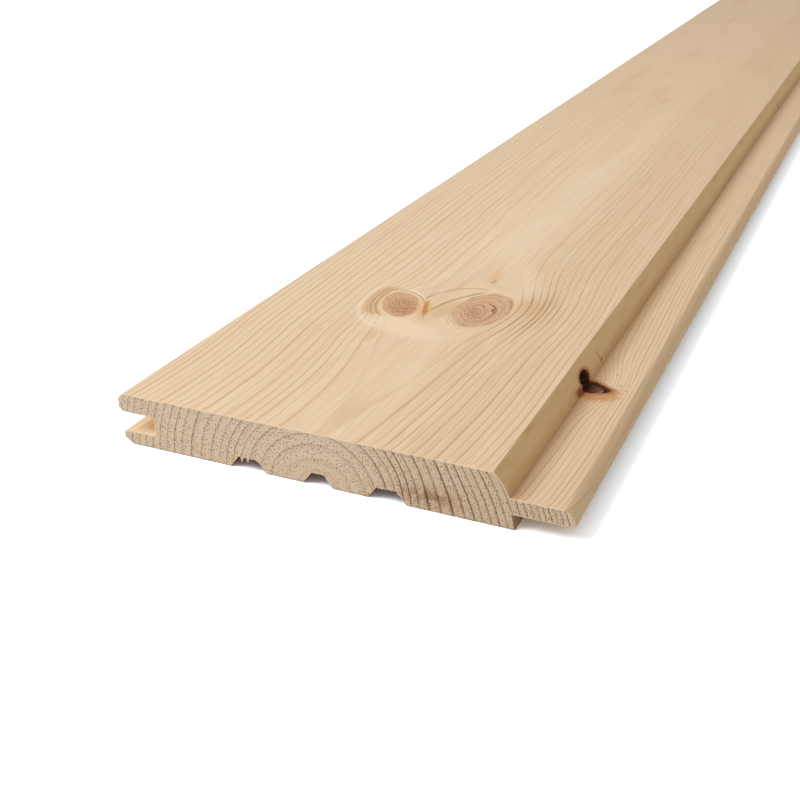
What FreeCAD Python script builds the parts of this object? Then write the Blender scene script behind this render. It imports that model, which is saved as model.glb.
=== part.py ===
# Tongue and groove cladding board, one sawn and moulded piece of softwood, in millimetres.
#
# The board lies on its back: the face is up, +Y runs along the grain, the groove is
# on the -X side and the tongue on the +X side. The origin is the middle of the
# underside, so the near end is at y = -board_length / 2.
import FreeCAD
import Part
import Sketcher
import os

# Driving sizes of the board, in millimetres
SIZES = {
    "board_length": 2000.0,        # sold length, along the grain
    "overall_width": 121.0,        # lip side to tongue tip
    "upper_lip": 5.2,              # wood above the groove
    "lower_lip": 3.7,              # wood below the groove
    "lip_setback": 1.0,            # the lower lip stops this much short of the upper one
    "lip_arris": 1.5,              # bevel between the face and the lip side
    "lip_lead": 1.1,               # bevel under the upper lip, which lets the tongue in
    "lead_run": 1.8,               # ramp on top of the lower lip
    "lead_drop": 0.5,
    "heel_run": 2.3,               # bevel under the lower lip
    "heel_rise": 1.5,
    "groove_depth": 10.6,          # lip side to the bottom of the groove
    "groove_corner": 0.8,          # round in the two corners of the groove
    "tongue_length": 15.6,         # face shoulder to tongue tip
    "tongue_thickness": 4.2,
    "tongue_seat": 0.15,           # tongue underside above the lower lip it slides on
    "tongue_clearance": 0.9,       # groove height beyond the tongue thickness
    "nose_run": 2.8,               # width of the rounded nose on top of the tongue tip
    "nose_drop": 3.0,              # how far down the tip it reaches
    "nose_radius": 5.0,
    "tongue_toe": 0.6,             # round under the tongue tip
    "edge_run": 4.0,               # width of the rounded edge beside the face
    "edge_radius": 16.0,           # its radius
    "back_shoulder": 0.6,          # back shoulder stands out past the face shoulder
    "shoulder_lean": 1.0,          # and leans out this much more down to the back
    "relief_depth": 3.1,           # the three relief grooves in the back
    "relief_wall": 2.3,            # run of each sloping groove wall
    "outer_roof": 5.3,             # flat roof of the first and third groove
    "middle_roof": 3.2,            # flat roof of the middle groove
    "relief_shift": 4.3,           # middle groove, off the middle of the face
    "first_spacing": 19.3,         # middle groove back to the first
    "third_spacing": 18.3,         # middle groove on to the third
}

# Places worked out from the sizes, across the board (x) and up from its back (z)
LIP_SIDE = "-Sizes.overall_width / 2"
TONGUE_TIP = "Sizes.overall_width / 2"
FACE_SHOULDER = "(Sizes.overall_width / 2 - Sizes.tongue_length)"
GROOVE_TOP = "(Sizes.lower_lip + Sizes.tongue_thickness + Sizes.tongue_clearance)"
THICKNESS = f"({GROOVE_TOP} + Sizes.upper_lip)"
TONGUE_UNDERSIDE = "(Sizes.lower_lip + Sizes.tongue_seat)"
TONGUE_TOP = f"({TONGUE_UNDERSIDE} + Sizes.tongue_thickness)"
GROOVE_BOTTOM = f"({LIP_SIDE} + Sizes.groove_depth)"
MIDDLE_RELIEF = f"(({LIP_SIDE} + {FACE_SHOULDER}) / 2 + Sizes.relief_shift)"

# Two places this close are the same one
SAME_PLACE = 1e-4

doc = FreeCAD.newDocument("tongue_and_groove_board")


def make_sheet():
    """Put every driving size in the sheet, its name beside its value."""
    sheet = doc.addObject("Spreadsheet::Sheet", "Sizes")
    for row, (name, value) in enumerate(SIZES.items(), start=1):
        sheet.set(f"A{row}", name)
        sheet.set(f"B{row}", str(value))
        sheet.setAlias(f"B{row}", name)
    doc.recompute()
    return sheet


sheet = make_sheet()


def worth(expression):
    """The number that an expression on the sheet gives."""
    value = sheet.evalExpression(expression)
    return float(getattr(value, "Value", value))


def section_plane(body):
    """The body's own XZ plane, which the board's section is drawn on."""
    return next(plane for plane in body.Origin.OriginFeatures if plane.Role == "XZ_Plane")


def section_sketch(body, name, corners, arc_radius=None):
    """Closed section outline. Each corner is an (x, z) pair of expressions.

    With arc_radius the last side, back to the first corner, is an arc that bulges
    into the wood's outer side, and arc_radius is the expression for its radius.
    """
    sketch = body.newObject("Sketcher::SketchObject", name)
    sketch.AttachmentSupport = [(section_plane(body), "")]
    sketch.MapMode = "FlatFace"
    points = [FreeCAD.Vector(worth(x), worth(z), 0) for x, z in corners]
    count = len(points)
    for index, point in enumerate(points):
        after = points[(index + 1) % count]
        if arc_radius and index == count - 1:
            sketch.addGeometry(bulging_arc(after, point, worth(arc_radius)))
        else:
            sketch.addGeometry(Part.LineSegment(point, after))
    straight = count - 1 if arc_radius else count
    for side in range(straight):
        joins_next = side + 1 < straight or not arc_radius
        if joins_next:
            sketch.addConstraint(Sketcher.Constraint("Coincident", side, 2, (side + 1) % count, 1))
    if arc_radius:
        arc = count - 1
        sketch.addConstraint(Sketcher.Constraint("Coincident", arc, 1, 0, 1))
        sketch.addConstraint(Sketcher.Constraint("Coincident", arc, 2, arc - 1, 2))
        radius = sketch.addConstraint(Sketcher.Constraint("Radius", arc, worth(arc_radius)))
        sketch.setExpression(f"Constraints[{radius}]", arc_radius)
    for side, (x, z) in enumerate(corners):
        geometry, end = (side, 1) if side < straight else (side - 1, 2)
        for kind, expression in (("DistanceX", x), ("DistanceY", z)):
            place = Sketcher.Constraint(kind, -1, 1, geometry, end, worth(expression))
            number = sketch.addConstraint(place)
            sketch.setExpression(f"Constraints[{number}]", expression)
    return sketch


def bulging_arc(low, high, radius):
    """Arc from the low point, anticlockwise, to the high one, about a centre inside the wood."""
    chord = high - low
    middle = (low + high) / 2
    inward = FreeCAD.Vector(-chord.y, chord.x, 0) / chord.Length
    centre = middle + inward * (radius ** 2 - (chord.Length / 2) ** 2) ** 0.5
    start = low - centre
    finish = high - centre
    axis = FreeCAD.Vector(1, 0, 0)
    turn = [vector.getAngle(axis) * (1 if vector.y >= 0 else -1) for vector in (start, finish)]
    return Part.ArcOfCircle(Part.Circle(centre, FreeCAD.Vector(0, 0, 1), radius), *turn)


def blank(body):
    """The planed blank: overall width by thickness, for the whole length."""
    sketch = section_sketch(body, "blank_section", [
        (LIP_SIDE, "0"),
        (TONGUE_TIP, "0"),
        (TONGUE_TIP, THICKNESS),
        (LIP_SIDE, THICKNESS),
    ])
    pad = body.newObject("PartDesign::Pad", "blank_pad")
    pad.Profile = sketch
    pad.Midplane = True
    pad.setExpression("Length", "Sizes.board_length")
    doc.recompute()
    return pad


def mill(body, name, corners, arc_radius=None):
    """Cut one moulded section off the blank, from end to end, and check that it cut."""
    before = body.Shape.Volume
    sketch = section_sketch(body, f"{name}_section", corners, arc_radius)
    cut = body.newObject("PartDesign::Pocket", name)
    cut.Profile = sketch
    cut.Type = "ThroughAll"
    cut.Midplane = True
    doc.recompute()
    if not body.Shape.Volume < before:
        raise RuntimeError(f"{name} cut nothing")
    return cut


def mill_tongue(body):
    """Rebates above and below the tongue, with the rounded edge, the leaning shoulder
    and the tongue's rounded nose."""
    arris = f"({FACE_SHOULDER} - Sizes.edge_run)"
    mill(body, "face_rebate", [
        (FACE_SHOULDER, TONGUE_TOP),
        (TONGUE_TIP, TONGUE_TOP),
        (TONGUE_TIP, THICKNESS),
        (arris, THICKNESS),
    ], arc_radius="Sizes.edge_radius")
    shoulder = f"({FACE_SHOULDER} + Sizes.back_shoulder)"
    mill(body, "back_rebate", [
        (f"{shoulder} + Sizes.shoulder_lean", "0"),
        (TONGUE_TIP, "0"),
        (TONGUE_TIP, TONGUE_UNDERSIDE),
        (shoulder, TONGUE_UNDERSIDE),
    ])
    mill(body, "tongue_nose", [
        (TONGUE_TIP, f"{TONGUE_TOP} - Sizes.nose_drop"),
        (TONGUE_TIP, TONGUE_TOP),
        (f"{TONGUE_TIP} - Sizes.nose_run", TONGUE_TOP),
    ], arc_radius="Sizes.nose_radius")


def mill_groove(body):
    """The groove, and the shorter lower lip with its heel bevel and lead ramp."""
    mill(body, "groove", [
        (LIP_SIDE, "Sizes.lower_lip"),
        (GROOVE_BOTTOM, "Sizes.lower_lip"),
        (GROOVE_BOTTOM, GROOVE_TOP),
        (LIP_SIDE, GROOVE_TOP),
    ])
    lip_end = f"({LIP_SIDE} + Sizes.lip_setback)"
    mill(body, "lower_lip_trim", [
        (LIP_SIDE, "0"),
        (f"{lip_end} + Sizes.heel_run", "0"),
        (lip_end, "Sizes.heel_rise"),
        (lip_end, "Sizes.lower_lip - Sizes.lead_drop"),
        (f"{lip_end} + Sizes.lead_run", "Sizes.lower_lip"),
        (LIP_SIDE, "Sizes.lower_lip"),
    ])


def mill_relief(body, name, middle, roof):
    """One trapezoid relief groove in the back, which keeps a wide board from cupping."""
    mill(body, name, [
        (f"{middle} - {roof} / 2 - Sizes.relief_wall", "0"),
        (f"{middle} + {roof} / 2 + Sizes.relief_wall", "0"),
        (f"{middle} + {roof} / 2", "Sizes.relief_depth"),
        (f"{middle} - {roof} / 2", "Sizes.relief_depth"),
    ])


def long_edge(body, x, z):
    """Name of the edge that runs the length of the board at a place in its section."""
    here = FreeCAD.Vector(worth(x), 0, worth(z))
    for number, edge in enumerate(body.Shape.Edges, start=1):
        ends = [vertex.Point for vertex in edge.Vertexes]
        runs_along = len(ends) == 2 and abs(ends[0].y - ends[1].y) > worth("Sizes.board_length") / 2
        if runs_along and all(abs(p.x - here.x) + abs(p.z - here.z) < SAME_PLACE for p in ends):
            return f"Edge{number}"
    raise RuntimeError(f"no long edge at {here.x:.2f}, {here.z:.2f}")


def ease_edges(body, kind, name, places, size_property, size):
    """Fillet or chamfer the long edges at the given places in the section."""
    names = [long_edge(body, x, z) for x, z in places]
    base = body.Tip
    easing = body.newObject(f"PartDesign::{kind}", name)
    easing.Base = (base, names)
    easing.setExpression(size_property, size)
    doc.recompute()
    return easing


body = doc.addObject("PartDesign::Body", "board")
body.Label = "board"
blank(body)
mill_tongue(body)
mill_groove(body)
mill_relief(body, "first_relief", f"({MIDDLE_RELIEF} - Sizes.first_spacing)", "Sizes.outer_roof")
mill_relief(body, "middle_relief", MIDDLE_RELIEF, "Sizes.middle_roof")
mill_relief(body, "third_relief", f"({MIDDLE_RELIEF} + Sizes.third_spacing)", "Sizes.outer_roof")
ease_edges(body, "Chamfer", "face_arris", [(LIP_SIDE, THICKNESS)], "Size", "Sizes.lip_arris")
ease_edges(body, "Chamfer", "lip_lead_in", [(LIP_SIDE, GROOVE_TOP)], "Size", "Sizes.lip_lead")
groove_corners = [(GROOVE_BOTTOM, "Sizes.lower_lip"), (GROOVE_BOTTOM, GROOVE_TOP)]
ease_edges(body, "Fillet", "groove_rounds", groove_corners, "Radius", "Sizes.groove_corner")
ease_edges(body, "Fillet", "tongue_toe_round", [(TONGUE_TIP, TONGUE_UNDERSIDE)], "Radius", "Sizes.tongue_toe")

# Every object has to be sound before anything is written
for item in doc.Objects:
    if "Invalid" in item.State or "Error" in item.State:
        raise RuntimeError(f"{item.Name} failed: {item.State}")
shape = body.Shape
if shape.isNull() or not shape.isValid() or len(shape.Solids) != 1:
    raise RuntimeError("the board is not one valid solid")

os.makedirs("parts", exist_ok=True)
shape.exportStep("parts/board.step")
box = shape.BoundBox
print(f"board {box.XLength:.2f} x {box.YLength:.2f} x {box.ZLength:.2f} mm, "
      f"section {shape.Volume / box.YLength:.1f} square mm")
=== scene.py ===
import bpy
import numpy as np
from math import pi, radians
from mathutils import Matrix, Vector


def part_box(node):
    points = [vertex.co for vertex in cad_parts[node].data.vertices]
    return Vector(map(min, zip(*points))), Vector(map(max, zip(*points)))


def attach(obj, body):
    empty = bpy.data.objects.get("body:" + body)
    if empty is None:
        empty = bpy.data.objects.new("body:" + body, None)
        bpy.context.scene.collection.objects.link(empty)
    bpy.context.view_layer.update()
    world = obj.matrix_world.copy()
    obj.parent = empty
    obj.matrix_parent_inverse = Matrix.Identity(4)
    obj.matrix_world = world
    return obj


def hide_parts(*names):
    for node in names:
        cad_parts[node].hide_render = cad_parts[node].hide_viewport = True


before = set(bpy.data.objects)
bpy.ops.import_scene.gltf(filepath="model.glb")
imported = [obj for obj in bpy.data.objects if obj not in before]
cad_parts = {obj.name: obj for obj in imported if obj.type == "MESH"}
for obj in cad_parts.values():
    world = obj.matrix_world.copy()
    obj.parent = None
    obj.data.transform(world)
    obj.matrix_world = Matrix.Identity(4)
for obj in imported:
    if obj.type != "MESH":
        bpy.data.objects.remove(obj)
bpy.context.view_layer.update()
board_low, board_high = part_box("board")
print("the board measures", [round(1000 * side, 1) for side in board_high - board_low])

# %% [markdown]
# The picture is taken close to the near end, from beside the tongue, looking down along
# the board. A camera in Blender looks along its own -Z, so it is tipped up from looking
# straight down and then turned to the left.
# %% The camera
camera_place = (0.1120, -1.2134, 0.1406)
camera_tip, camera_turn = radians(90 - 25.93), radians(23.73)
camera_data = bpy.data.cameras.new("camera")
camera_data.sensor_fit = "HORIZONTAL"
camera_data.sensor_width = 36
camera_data.lens = 51.93
camera_data.clip_start = 0.01
camera = bpy.data.objects.new("camera", camera_data)
camera.location = camera_place
camera.rotation_euler = (camera_tip, 0, camera_turn)
bpy.context.collection.objects.link(camera)
bpy.context.scene.camera = camera
print("camera", camera_place, "lens", camera_data.lens)

# %% [markdown]
# The light is a pale room and one soft window on the left, near the end that is looked
# at. It stands high enough for the board to throw only a narrow shadow on the floor.
# %% The light
scene = bpy.context.scene
scene.view_settings.view_transform = "Standard"


def white_to_the_camera(nodes, links, lit, white):
    """Join two shaders: a ray from the camera, or mirrored on its way, sees the white one."""
    path = nodes.new("ShaderNodeLightPath")
    seen = nodes.new("ShaderNodeMath")
    seen.operation = "MAXIMUM"
    links.new(path.outputs["Is Camera Ray"], seen.inputs[0])
    links.new(path.outputs["Is Glossy Ray"], seen.inputs[1])
    through = nodes.new("ShaderNodeMath")
    through.operation = "MAXIMUM"
    links.new(seen.outputs[0], through.inputs[0])
    links.new(path.outputs["Is Transmission Ray"], through.inputs[1])
    mix = nodes.new("ShaderNodeMixShader")
    links.new(through.outputs[0], mix.inputs[0])
    links.new(lit.outputs[0], mix.inputs[1])
    links.new(white.outputs[0], mix.inputs[2])
    return mix


world = bpy.data.worlds.new("room")
world.use_nodes = True
scene.world = world
room_nodes, room_links = world.node_tree.nodes, world.node_tree.links
room_nodes.clear()
room_light = room_nodes.new("ShaderNodeBackground")
room_light.inputs["Color"].default_value = (1.0, 0.99, 0.975, 1)
room_light.inputs["Strength"].default_value = 0.54
room_white = room_nodes.new("ShaderNodeBackground")
room_white.inputs["Strength"].default_value = 1.0
room_out = room_nodes.new("ShaderNodeOutputWorld")
room_mix = white_to_the_camera(room_nodes, room_links, room_light, room_white)
room_links.new(room_mix.outputs[0], room_out.inputs["Surface"])


def window(name, place, aim, size, power):
    """A square area lamp at a place, turned to shine on the aim."""
    lamp = bpy.data.lights.new(name, "AREA")
    lamp.size = size
    lamp.energy = power
    lamp_object = bpy.data.objects.new(name, lamp)
    towards = np.subtract(aim, place)
    across, along, up = towards / np.linalg.norm(towards)
    lamp_object.location = place
    lamp_object.rotation_euler = (np.arccos(-up), 0, np.arctan2(-across, along))
    bpy.context.collection.objects.link(lamp_object)
    print(name, "of", size, "m and", power, "W at", place)


near_end = board_low.y
window("window", place=(-0.85, near_end - 0.45, 0.95), aim=(0, near_end, 0), size=0.75,
       power=12.3)

# %% [markdown]
# The board lies on a plain white sheet. It has to read as pure white and still hold the
# soft shadow beside the tongue, so the camera sees a paler sheet than the one that throws
# light back at the board.
# %% The floor
floor_reach, floor_drop = 4.0, 0.0001
floor_mesh = bpy.data.meshes.new("floor")
corners = [(-floor_reach, -floor_reach, -floor_drop), (floor_reach, -floor_reach, -floor_drop),
           (floor_reach, floor_reach, -floor_drop), (-floor_reach, floor_reach, -floor_drop)]
floor_mesh.from_pydata(corners, [], [(0, 1, 2, 3)])
floor = bpy.data.objects.new("floor", floor_mesh)
bpy.context.collection.objects.link(floor)
paper = bpy.data.materials.new("white_paper")
paper.use_nodes = True
paper_nodes, paper_links = paper.node_tree.nodes, paper.node_tree.links
paper_nodes.clear()
paper_lit = paper_nodes.new("ShaderNodeBsdfDiffuse")
paper_lit.inputs["Color"].default_value = (0.58, 0.55, 0.50, 1)
paper_seen = paper_nodes.new("ShaderNodeBsdfDiffuse")
paper_seen.inputs["Color"].default_value = (1.86, 1.975, 2.085, 1)
paper_out = paper_nodes.new("ShaderNodeOutputMaterial")
paper_mix = white_to_the_camera(paper_nodes, paper_links, paper_lit, paper_seen)
paper_links.new(paper_mix.outputs[0], paper_out.inputs["Surface"])
floor_mesh.materials.append(paper)
print("floor", 2 * floor_reach, "m square")

# %% [markdown]
# The section is what the moulder's cutters leave: the face, a rounded edge, the shelf
# and nose of the tongue, the leaning shoulder, three relief grooves in the back, and the
# lips of the groove. Lengths are in millimetres, across from the groove side and up from
# the back. Each corner says how close the points to the next corner lie and, for a round,
# its radius. A minus sign makes the round hollow.
# %% The section's corners
MM = 0.001
thickness, shelf, tongue_under = 14.0, 8.05, 3.85
edge_start, edge_end = 101.4, 105.4
relief_depth = 3.1
outline_corners = [
    (1.5, thickness, 2.0, 0),  # the face
    (edge_start, thickness, 0.4, 16.0),  # the rounded edge
    (edge_end, shelf, 0.4, 0),  # the shelf on the tongue
    (118.2, shelf, 0.35, 5.0),  # the nose
    (121.0, 5.05, 0.6, 0),  # the tip
    (121.0, 4.45, 0.3, 0.6),
    (120.4, tongue_under, 1.6, 0),  # under the tongue
    (106.0, tongue_under, 0.6, 0),  # the back shoulder
    (107.0, 0.0, 2.5, 0),  # the back
    (80.25, 0.0, 0.4, 0),  # the third relief groove
    (77.95, relief_depth, 0.3, 0),
    (72.65, relief_depth, 0.35, 0),
    (70.35, 0.0, 2.0, 0),
    (60.9, 0.0, 0.6, 0),  # the middle one
    (58.6, relief_depth, 0.5, 0),
    (55.4, relief_depth, 0.6, 0),
    (53.1, 0.0, 2.0, 0),
    (42.65, 0.0, 0.4, 0),  # the first one
    (40.35, relief_depth, 0.25, 0),
    (35.05, relief_depth, 0.4, 0),
    (32.75, 0.0, 2.5, 0),
    (3.3, 0.0, 0.6, 0),  # the lower lip
    (1.0, 1.5, 0.6, 0),
    (1.0, 3.2, 0.6, 0),
    (2.8, 3.7, 1.5, 0),
    (9.8, 3.7, 0.3, -0.8),  # the groove, with its hollow corners
    (10.6, 4.5, 0.9, 0),
    (10.6, 8.0, 0.3, -0.8),
    (9.8, 8.8, 1.5, 0),
    (1.1, 8.8, 0.6, 0),  # the upper lip
    (0.0, 9.9, 0.6, 0),
    (0.0, 12.5, 0.6, 0),
]


def run_between(start, end, gap, radius):
    """Points from start up to end, without end: on a straight run, or on an arc whose
    centre lies the radius away from both, to the right of the way for a plus sign."""
    start, end = np.array(start), np.array(end)
    chord = np.linalg.norm(end - start)
    steps = max(1, int(np.ceil(chord / gap)))
    share = np.arange(steps) / steps
    if radius == 0:
        return start + share[:, None] * (end - start)
    way = (end - start) / chord
    to_centre = np.sign(radius) * np.sqrt(radius**2 - (chord / 2) ** 2)
    centre = (start + end) / 2 + to_centre * np.array([way[1], -way[0]])
    first, last = (np.arctan2(p[1] - centre[1], p[0] - centre[0]) for p in (start, end))
    swing = -((first - last) % (2 * pi)) if radius > 0 else (last - first) % (2 * pi)
    angle = first + share * swing
    return centre + abs(radius) * np.stack([np.cos(angle), np.sin(angle)], 1)


following = outline_corners[1:] + outline_corners[:1]
runs = [run_between(a[:2], b[:2], a[2], a[3]) for a, b in zip(outline_corners, following)]
outline = np.concatenate(runs)
print("the section has", len(outline), "points round it")

# %% [markdown]
# Two helpers go with the outline: which way is outwards at each point, for setting wood
# back or letting it stand proud, and how far round the outline each point lies from the
# inner corner of the shelf, minus up the rounded edge and plus out over the tongue.
# %% Outwards, and the way round
step_on = np.roll(outline, -1, axis=0) - outline
step_on /= np.linalg.norm(step_on, axis=1, keepdims=True)
turned = np.stack([-step_on[:, 1], step_on[:, 0]], 1)
outwards = turned + np.roll(turned, 1, axis=0)
outwards /= np.linalg.norm(outwards, axis=1, keepdims=True)
walked = np.linalg.norm(np.roll(outline, -1, axis=0) - outline, axis=1)
way_round = np.concatenate([[0], np.cumsum(walked)[:-1]])
corner_at = np.argmin(np.hypot(outline[:, 0] - edge_end, outline[:, 1] - shelf))
girth = walked.sum()
way_round = (way_round - way_round[corner_at] + girth / 2) % girth - girth / 2
print("once round the section is", round(girth, 1), "mm")

# %% [markdown]
# Along the grain the skin needs few stations, apart from two places: the sawn ends,
# where fibres tear and the arris is furry, and the dead knot beside the tongue.
# %% The stations along the board
length = 1000 * (board_high.y - board_low.y)
end_stations = np.array([0, 0.12, 0.28, 0.5, 0.8, 1.2, 1.7, 2.4, 3.4, 5, 8])
knot_stations = np.arange(52, 78, 0.4)
stations = np.concatenate([
    end_stations, np.arange(14, 52, 6.3), knot_stations, np.arange(78, 130, 5.2),
    np.arange(130, length - 20, 20), length - end_stations[::-1]])
print(len(stations), "stations,", len(stations) * len(outline), "points in the skin")

# %% [markdown]
# The sawn end is not a knife edge. The saw pulls fibres over the arris, so it is a small
# uneven round, and in the first and third relief grooves the cutter has left teeth of
# torn fibre under the roof. The table says where the teeth hang, how far, and how wide
# they are, in millimetres.
# %% Shape of the sawn ends
rng = np.random.default_rng(14)


def rough(count, smooth):
    """Random numbers from 0 to 1 round the outline, averaged over that many neighbours."""
    loose = rng.random(count)
    window_weights = np.ones(smooth) / smooth
    wrapped = np.concatenate([loose[-smooth:], loose, loose[:smooth]])
    return np.convolve(wrapped, window_weights, "same")[smooth:-smooth]


def rounded_arris(from_end, radius):
    """How far the skin is set in at a distance from the end: a quarter circle."""
    inside = np.clip(radius - from_end, 0, radius)
    return radius - np.sqrt(np.clip(radius**2 - inside**2, 0, None))


arris_least, arris_spread = 0.06, 0.2
arris_radius = arris_least + arris_spread * rough(len(outline), 3)
from_near = stations[:, None]
set_in = rounded_arris(np.minimum(from_near, length - from_near), arris_radius[None, :])
torn_fibres = np.array([
    # across, hangs down, half width
    (36.0, 1.6, 0.55), (37.7, 1.4, 0.50), (38.8, 0.35, 0.3), (40.3, 0.55, 0.35),
    (73.2, 0.45, 0.3), (74.0, 0.65, 0.3), (75.0, 0.4, 0.35), (76.4, 0.5, 0.3), (78.3, 0.6, 0.35)])
wall_foot, same_height = 1.2, 0.01
in_roof = (outline[:, 1] > wall_foot) & (outline[:, 1] <= relief_depth + same_height)
tooth_share = np.clip(1 - np.abs(outline[:, :1] - torn_fibres[:, 0]) / torn_fibres[:, 2], 0, 1)
teeth = in_roof * (tooth_share * torn_fibres[:, 1]).max(axis=1)
tooth_reach = 1.5
tooth_taper = np.clip(1 - from_near / tooth_reach, 0, 1) ** 1.5
proud = teeth[None, :] * tooth_taper - set_in
print("longest torn fibre", round(float(teeth.max()), 2), "mm")

# %% [markdown]
# The dead knot is a small black branch that crosses the inner corner of the shelf. Its
# heart has shrunk away from the wood: a deep hole in the rounded edge, and on the shelf
# an oval plug with a crack round it. A point's place on the knot is taken on the skin
# laid flat: the way round from the corner, and the distance from the near end.
# %% Shape of the dead knot
knot_way, knot_along = 1.0, 64.2
reach_out, reach_up, knot_half = 5.6, 3.6, 3.7
knot_pinch, knot_tilt = 0.3, 0.1
head_way, head_along = -2.2, 64.9
head_half = (2.1, 3.8)


def dead_knot_reach(way, along):
    """Nought in the heart of the dead knot and one on its rim: an oval body, drawn to a
    point on the shelf side, and a smaller oval head half way up the rounded edge."""
    out = way - knot_way
    half_long = np.where(out > 0, reach_out, reach_up)
    half_wide = knot_half * (1 - knot_pinch * np.clip(out / reach_out, 0, 1))
    body = np.hypot(out / half_long, (along - knot_along + knot_tilt * out) / half_wide)
    head = np.hypot((way - head_way) / head_half[0], (along - head_along) / head_half[1])
    return np.minimum(body, head)


def smooth_step(value, low, high):
    """Rise from 0 at low to 1 at high, level at both ends."""
    share = np.clip((value - low) / (high - low), 0, 1)
    return share * share * (3 - 2 * share)


way_grid, along_grid = np.meshgrid(way_round, stations)
knot_reach = dead_knot_reach(way_grid, along_grid)
hole_deep, crack_deep, plug_deep = 2.0, 1.1, 0.35
hole = (1 - smooth_step(knot_reach, 0.45, 0.95)) * (1 - smooth_step(way_grid, -0.4, 1.4))
crack = 1 - smooth_step(np.abs(knot_reach - 0.8), 0.04, 0.2)
crack = crack * smooth_step(way_grid, -1.5, 0.5)
plug = (1 - smooth_step(knot_reach, 0.6, 0.75)) * smooth_step(way_grid, -0.5, 0.8)
proud -= np.maximum(np.maximum(hole_deep * hole, crack_deep * crack), plug_deep * plug)
print("deepest place in the dead knot", round(float(proud.min()), 2), "mm")

# %% [markdown]
# Now the skin: the outline carried along the stations, with each point moved along its
# outward direction. Each square of the skin has two neighbours' points on one station and
# two on the next.
# %% The skin of the board
section = outline[None] + proud[:, :, None] * outwards[None]
skin = np.empty((len(stations), len(outline), 3))
skin[:, :, 0] = section[:, :, 0]
skin[:, :, 1] = stations[:, None]
skin[:, :, 2] = section[:, :, 1]
around = np.arange(len(outline))
beyond = np.roll(around, -1)
ring_start = np.arange(len(stations) - 1)[:, None] * len(outline)
quads = np.stack([ring_start + around, ring_start + beyond,
                  ring_start + len(outline) + beyond, ring_start + len(outline) + around], -1)
faces = quads.reshape(-1, 4).tolist()
points = [skin.reshape(-1, 3)]
rim_width = 0.3
near_an_end = np.minimum(along_grid, length - along_grid) < rim_width
rim = [near_an_end.ravel()]
laid_flat = [np.stack([way_grid.ravel(), along_grid.ravel()], 1)]
print("the skin has", len(faces), "squares")

# %% [markdown]
# Each sawn end is closed with two more rings of points, set in a little, so that the
# furry rim of the wood has faces of its own, and with one flat face inside the last ring.
# %% Closing the sawn ends
end_rings = [
    # set in, nearness to the rim
    (0.12, 0.8), (0.3, 0.0)]


def close_end(last_ring, first_index, place, outwards_first):
    """Rings set in from the last ring of the skin, and a flat face inside them."""
    count = len(outline)
    previous = first_index + np.arange(count)
    made = sum(len(p) for p in points)
    for inset, nearness in end_rings:
        ring = last_ring - inset * outwards
        points.append(np.stack([ring[:, 0], np.full(count, place), ring[:, 1]], 1))
        rim.append(np.full(count, nearness))
        laid_flat.append(np.stack([way_round, np.full(count, place)], 1))
        current = made + np.arange(count)
        made += count
        sides = np.stack([previous, current, np.roll(current, -1), np.roll(previous, -1)], 1)
        faces.extend((sides if outwards_first else sides[:, ::-1]).tolist())
        previous = current
    faces.append(previous[::-1].tolist() if outwards_first else previous.tolist())


close_end(section[0], 0, 0.0, True)
close_end(section[-1], (len(stations) - 1) * len(outline), length, False)
print("with its ends closed it has", len(faces), "faces")

# %% [markdown]
# The points become a mesh with smooth faces and sharp arrises. It also carries two
# readings for the material: how near a point is to the furry rim, and its place on the
# skin laid flat.
# %% The mesh of the board
skin_points = np.concatenate(points) * MM
skin_points[:, 0] += board_low.x
skin_points[:, 1] += board_low.y
board_mesh = bpy.data.meshes.new("planed_board")
board_mesh.from_pydata(skin_points.tolist(), [], faces)
board_mesh.polygons.foreach_set("use_smooth", np.ones(len(board_mesh.polygons), bool))
board_mesh.set_sharp_from_angle(angle=radians(28))
board_mesh.attributes.new("rim", "FLOAT", "POINT").data.foreach_set("value", np.concatenate(rim))
flat_places = np.concatenate(laid_flat)
flat_places = np.column_stack([flat_places, np.zeros(len(flat_places))])
board_mesh.attributes.new("laid_flat", "FLOAT_VECTOR", "POINT").data.foreach_set(
    "vector", flat_places.ravel())
print("faces changed by the check:", board_mesh.validate())
board = bpy.data.objects.new("planed_board", board_mesh)
bpy.context.collection.objects.link(board)
print("skin of", len(board_mesh.vertices), "points and", len(board_mesh.polygons), "faces")

# %% [markdown]
# Other programs show the wood as one flat picture, so every face also gets its place on
# it. The skin is laid out flat, the way round going across the picture: a tall strip for
# the near 390 mm, where the knots are, and one for the rest. The two sawn ends lie below.
# %% Places on a flat picture
picture_side, margin = 1024, 4
near_bottom, far_bottom, far_top = 524, 80, 516
near_strip_ends = 385
near_strip = int(np.searchsorted(stations, near_strip_ends))
loop_point = np.empty(len(board_mesh.loops), int)
board_mesh.loops.foreach_get("vertex_index", loop_point)
walk_start = np.concatenate([[0], np.cumsum(walked)[:-1]])
walk_end = walk_start + walked


def strip_rows(first, last, bottom, top):
    """Heights on the picture, in pixels, of the stations from first to last."""
    share = (stations[first:last + 1] - stations[first]) / (stations[last] - stations[first])
    return bottom + share * (top - bottom)


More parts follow.
